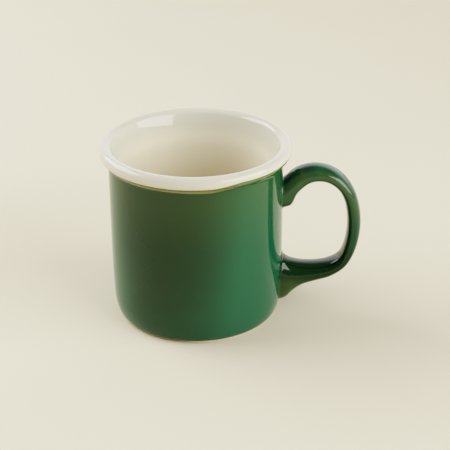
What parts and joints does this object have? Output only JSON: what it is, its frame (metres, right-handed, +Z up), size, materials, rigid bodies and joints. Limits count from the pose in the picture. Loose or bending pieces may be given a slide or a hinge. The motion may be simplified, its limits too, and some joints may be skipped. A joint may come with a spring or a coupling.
{
  "type": "mug",
  "caption": "Round ceramic mug with a rolled pale rim, a coloured outer glaze, a bare clay foot ring and a D-shaped strap handle.",
  "frame": {"origin": "centre of the foot ring's resting plane, on the cup's axis", "axes": "+Z up along the cup's axis, +X from the cup's axis towards the handle"},
  "size_m": [0.1246, 0.091, 0.0876],
  "materials": {
    "bare_clay": "unglazed, fine grained, matt",
    "slip": "unglazed, matt",
    "liner_glaze": "glossy warm white glaze",
    "outer_glaze": "glossy deep green glaze",
    "overlap_glaze": "glossy olive glaze, thin and see-through"
  },
  "bodies": {
    "root": {"clay_body": "bare_clay", "handle": "bare_clay", "upper_slip_joint": "slip", "lower_slip_joint": "slip", "liner_glaze": "liner_glaze", "outer_glaze": "outer_glaze", "handle_glaze": "outer_glaze", "overlap_band": "overlap_glaze", "base_glaze": "outer_glaze"}
  },
  "joints": []
}
